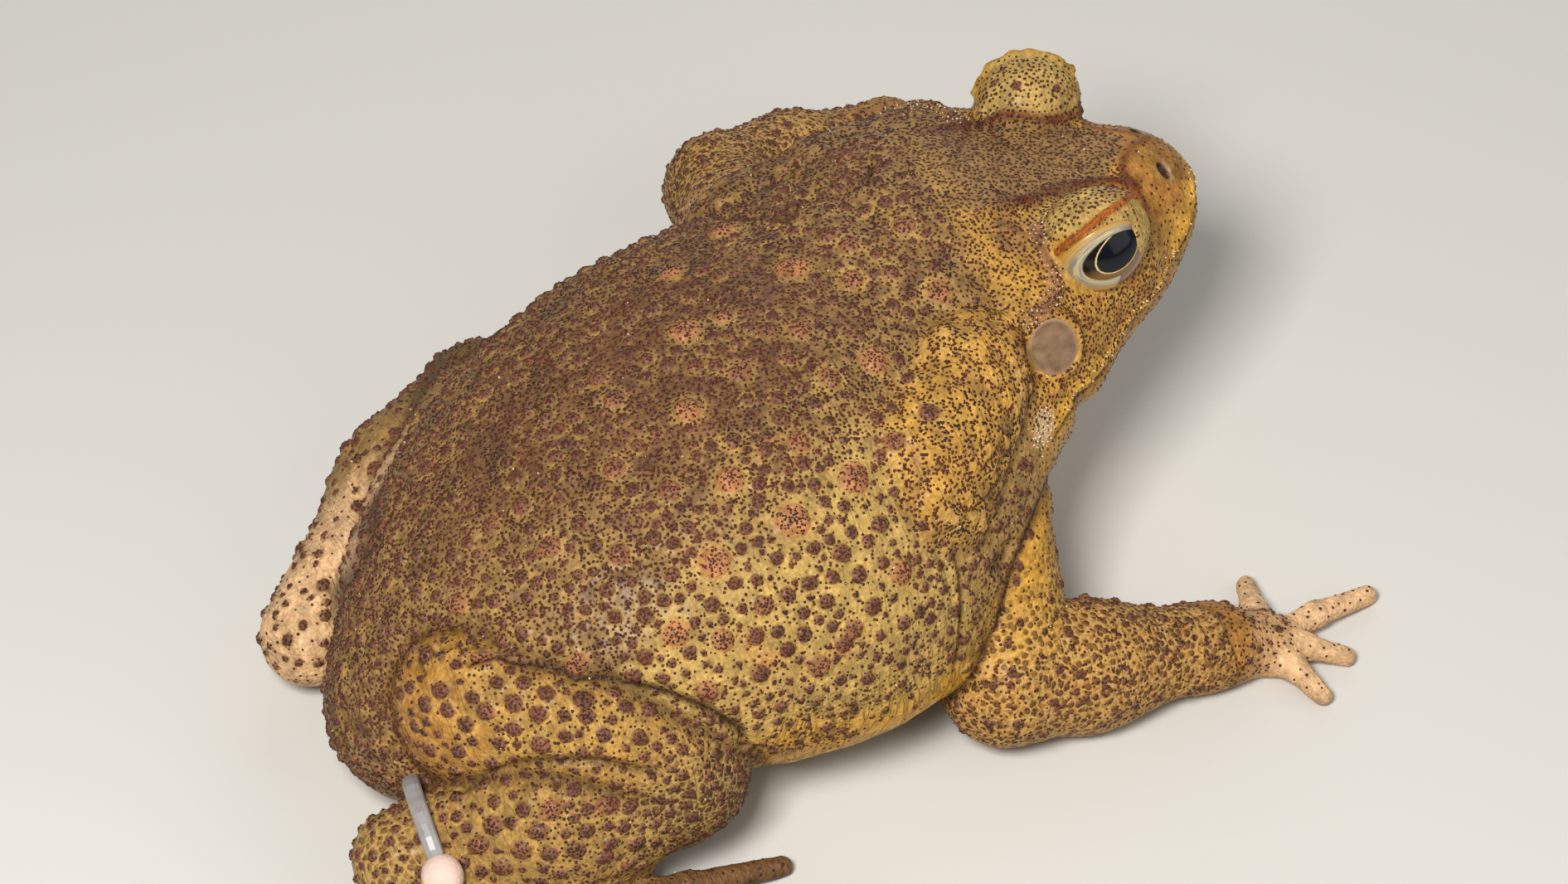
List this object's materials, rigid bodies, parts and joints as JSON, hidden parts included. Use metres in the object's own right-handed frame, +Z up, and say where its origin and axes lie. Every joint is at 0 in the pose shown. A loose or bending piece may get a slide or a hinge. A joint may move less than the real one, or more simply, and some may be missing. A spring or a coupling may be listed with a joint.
{
  "type": "cane toad model",
  "caption": "Life-size still model of a large cane toad crouched on its belly, arms out, head turned a little, with a leg tag.",
  "frame": {"origin": "centre of the belly's flat on the floor, about under the middle of the trunk", "axes": "+X from vent to snout, +Y to the toad's left, +Z up; z = 0 is the floor"},
  "size_m": [0.1475, 0.1285, 0.0559],
  "materials": {
    "skin_back": "olive to golden warty skin with dark spots",
    "skin_head": "olive skin drawn tight over bony ridges",
    "skin_arm": "orange-yellow skin with small dark warts",
    "skin_leg": "golden skin with round dark warts",
    "gland": "swollen pitted skin with fine dark dots",
    "drum": "thin smooth grey-brown skin",
    "eye": "wet black pupil with a thin gold rim",
    "tag_tube": "grey translucent soft tube",
    "tag_bead": "pinkish white glossy bead"
  },
  "bodies": {
    "root": {"torso": "skin_back", "head": "skin_head", "parotoid_left": "gland", "parotoid_right": "gland", "tympanum_left": "drum", "tympanum_right": "drum", "eye_left": "eye", "eye_right": "eye", "upper_arm_left": "skin_arm", "upper_arm_right": "skin_arm", "forearm_left": "skin_arm", "forearm_right": "skin_arm", "hand_left": "skin_arm", "hand_right": "skin_arm", "thigh_left": "skin_leg", "thigh_right": "skin_leg", "shank_left": "skin_leg", "shank_right": "skin_leg", "foot_left": "skin_leg", "foot_right": "skin_leg", "tag_tube": "tag_tube", "tag_bead": "tag_bead"}
  },
  "joints": []
}
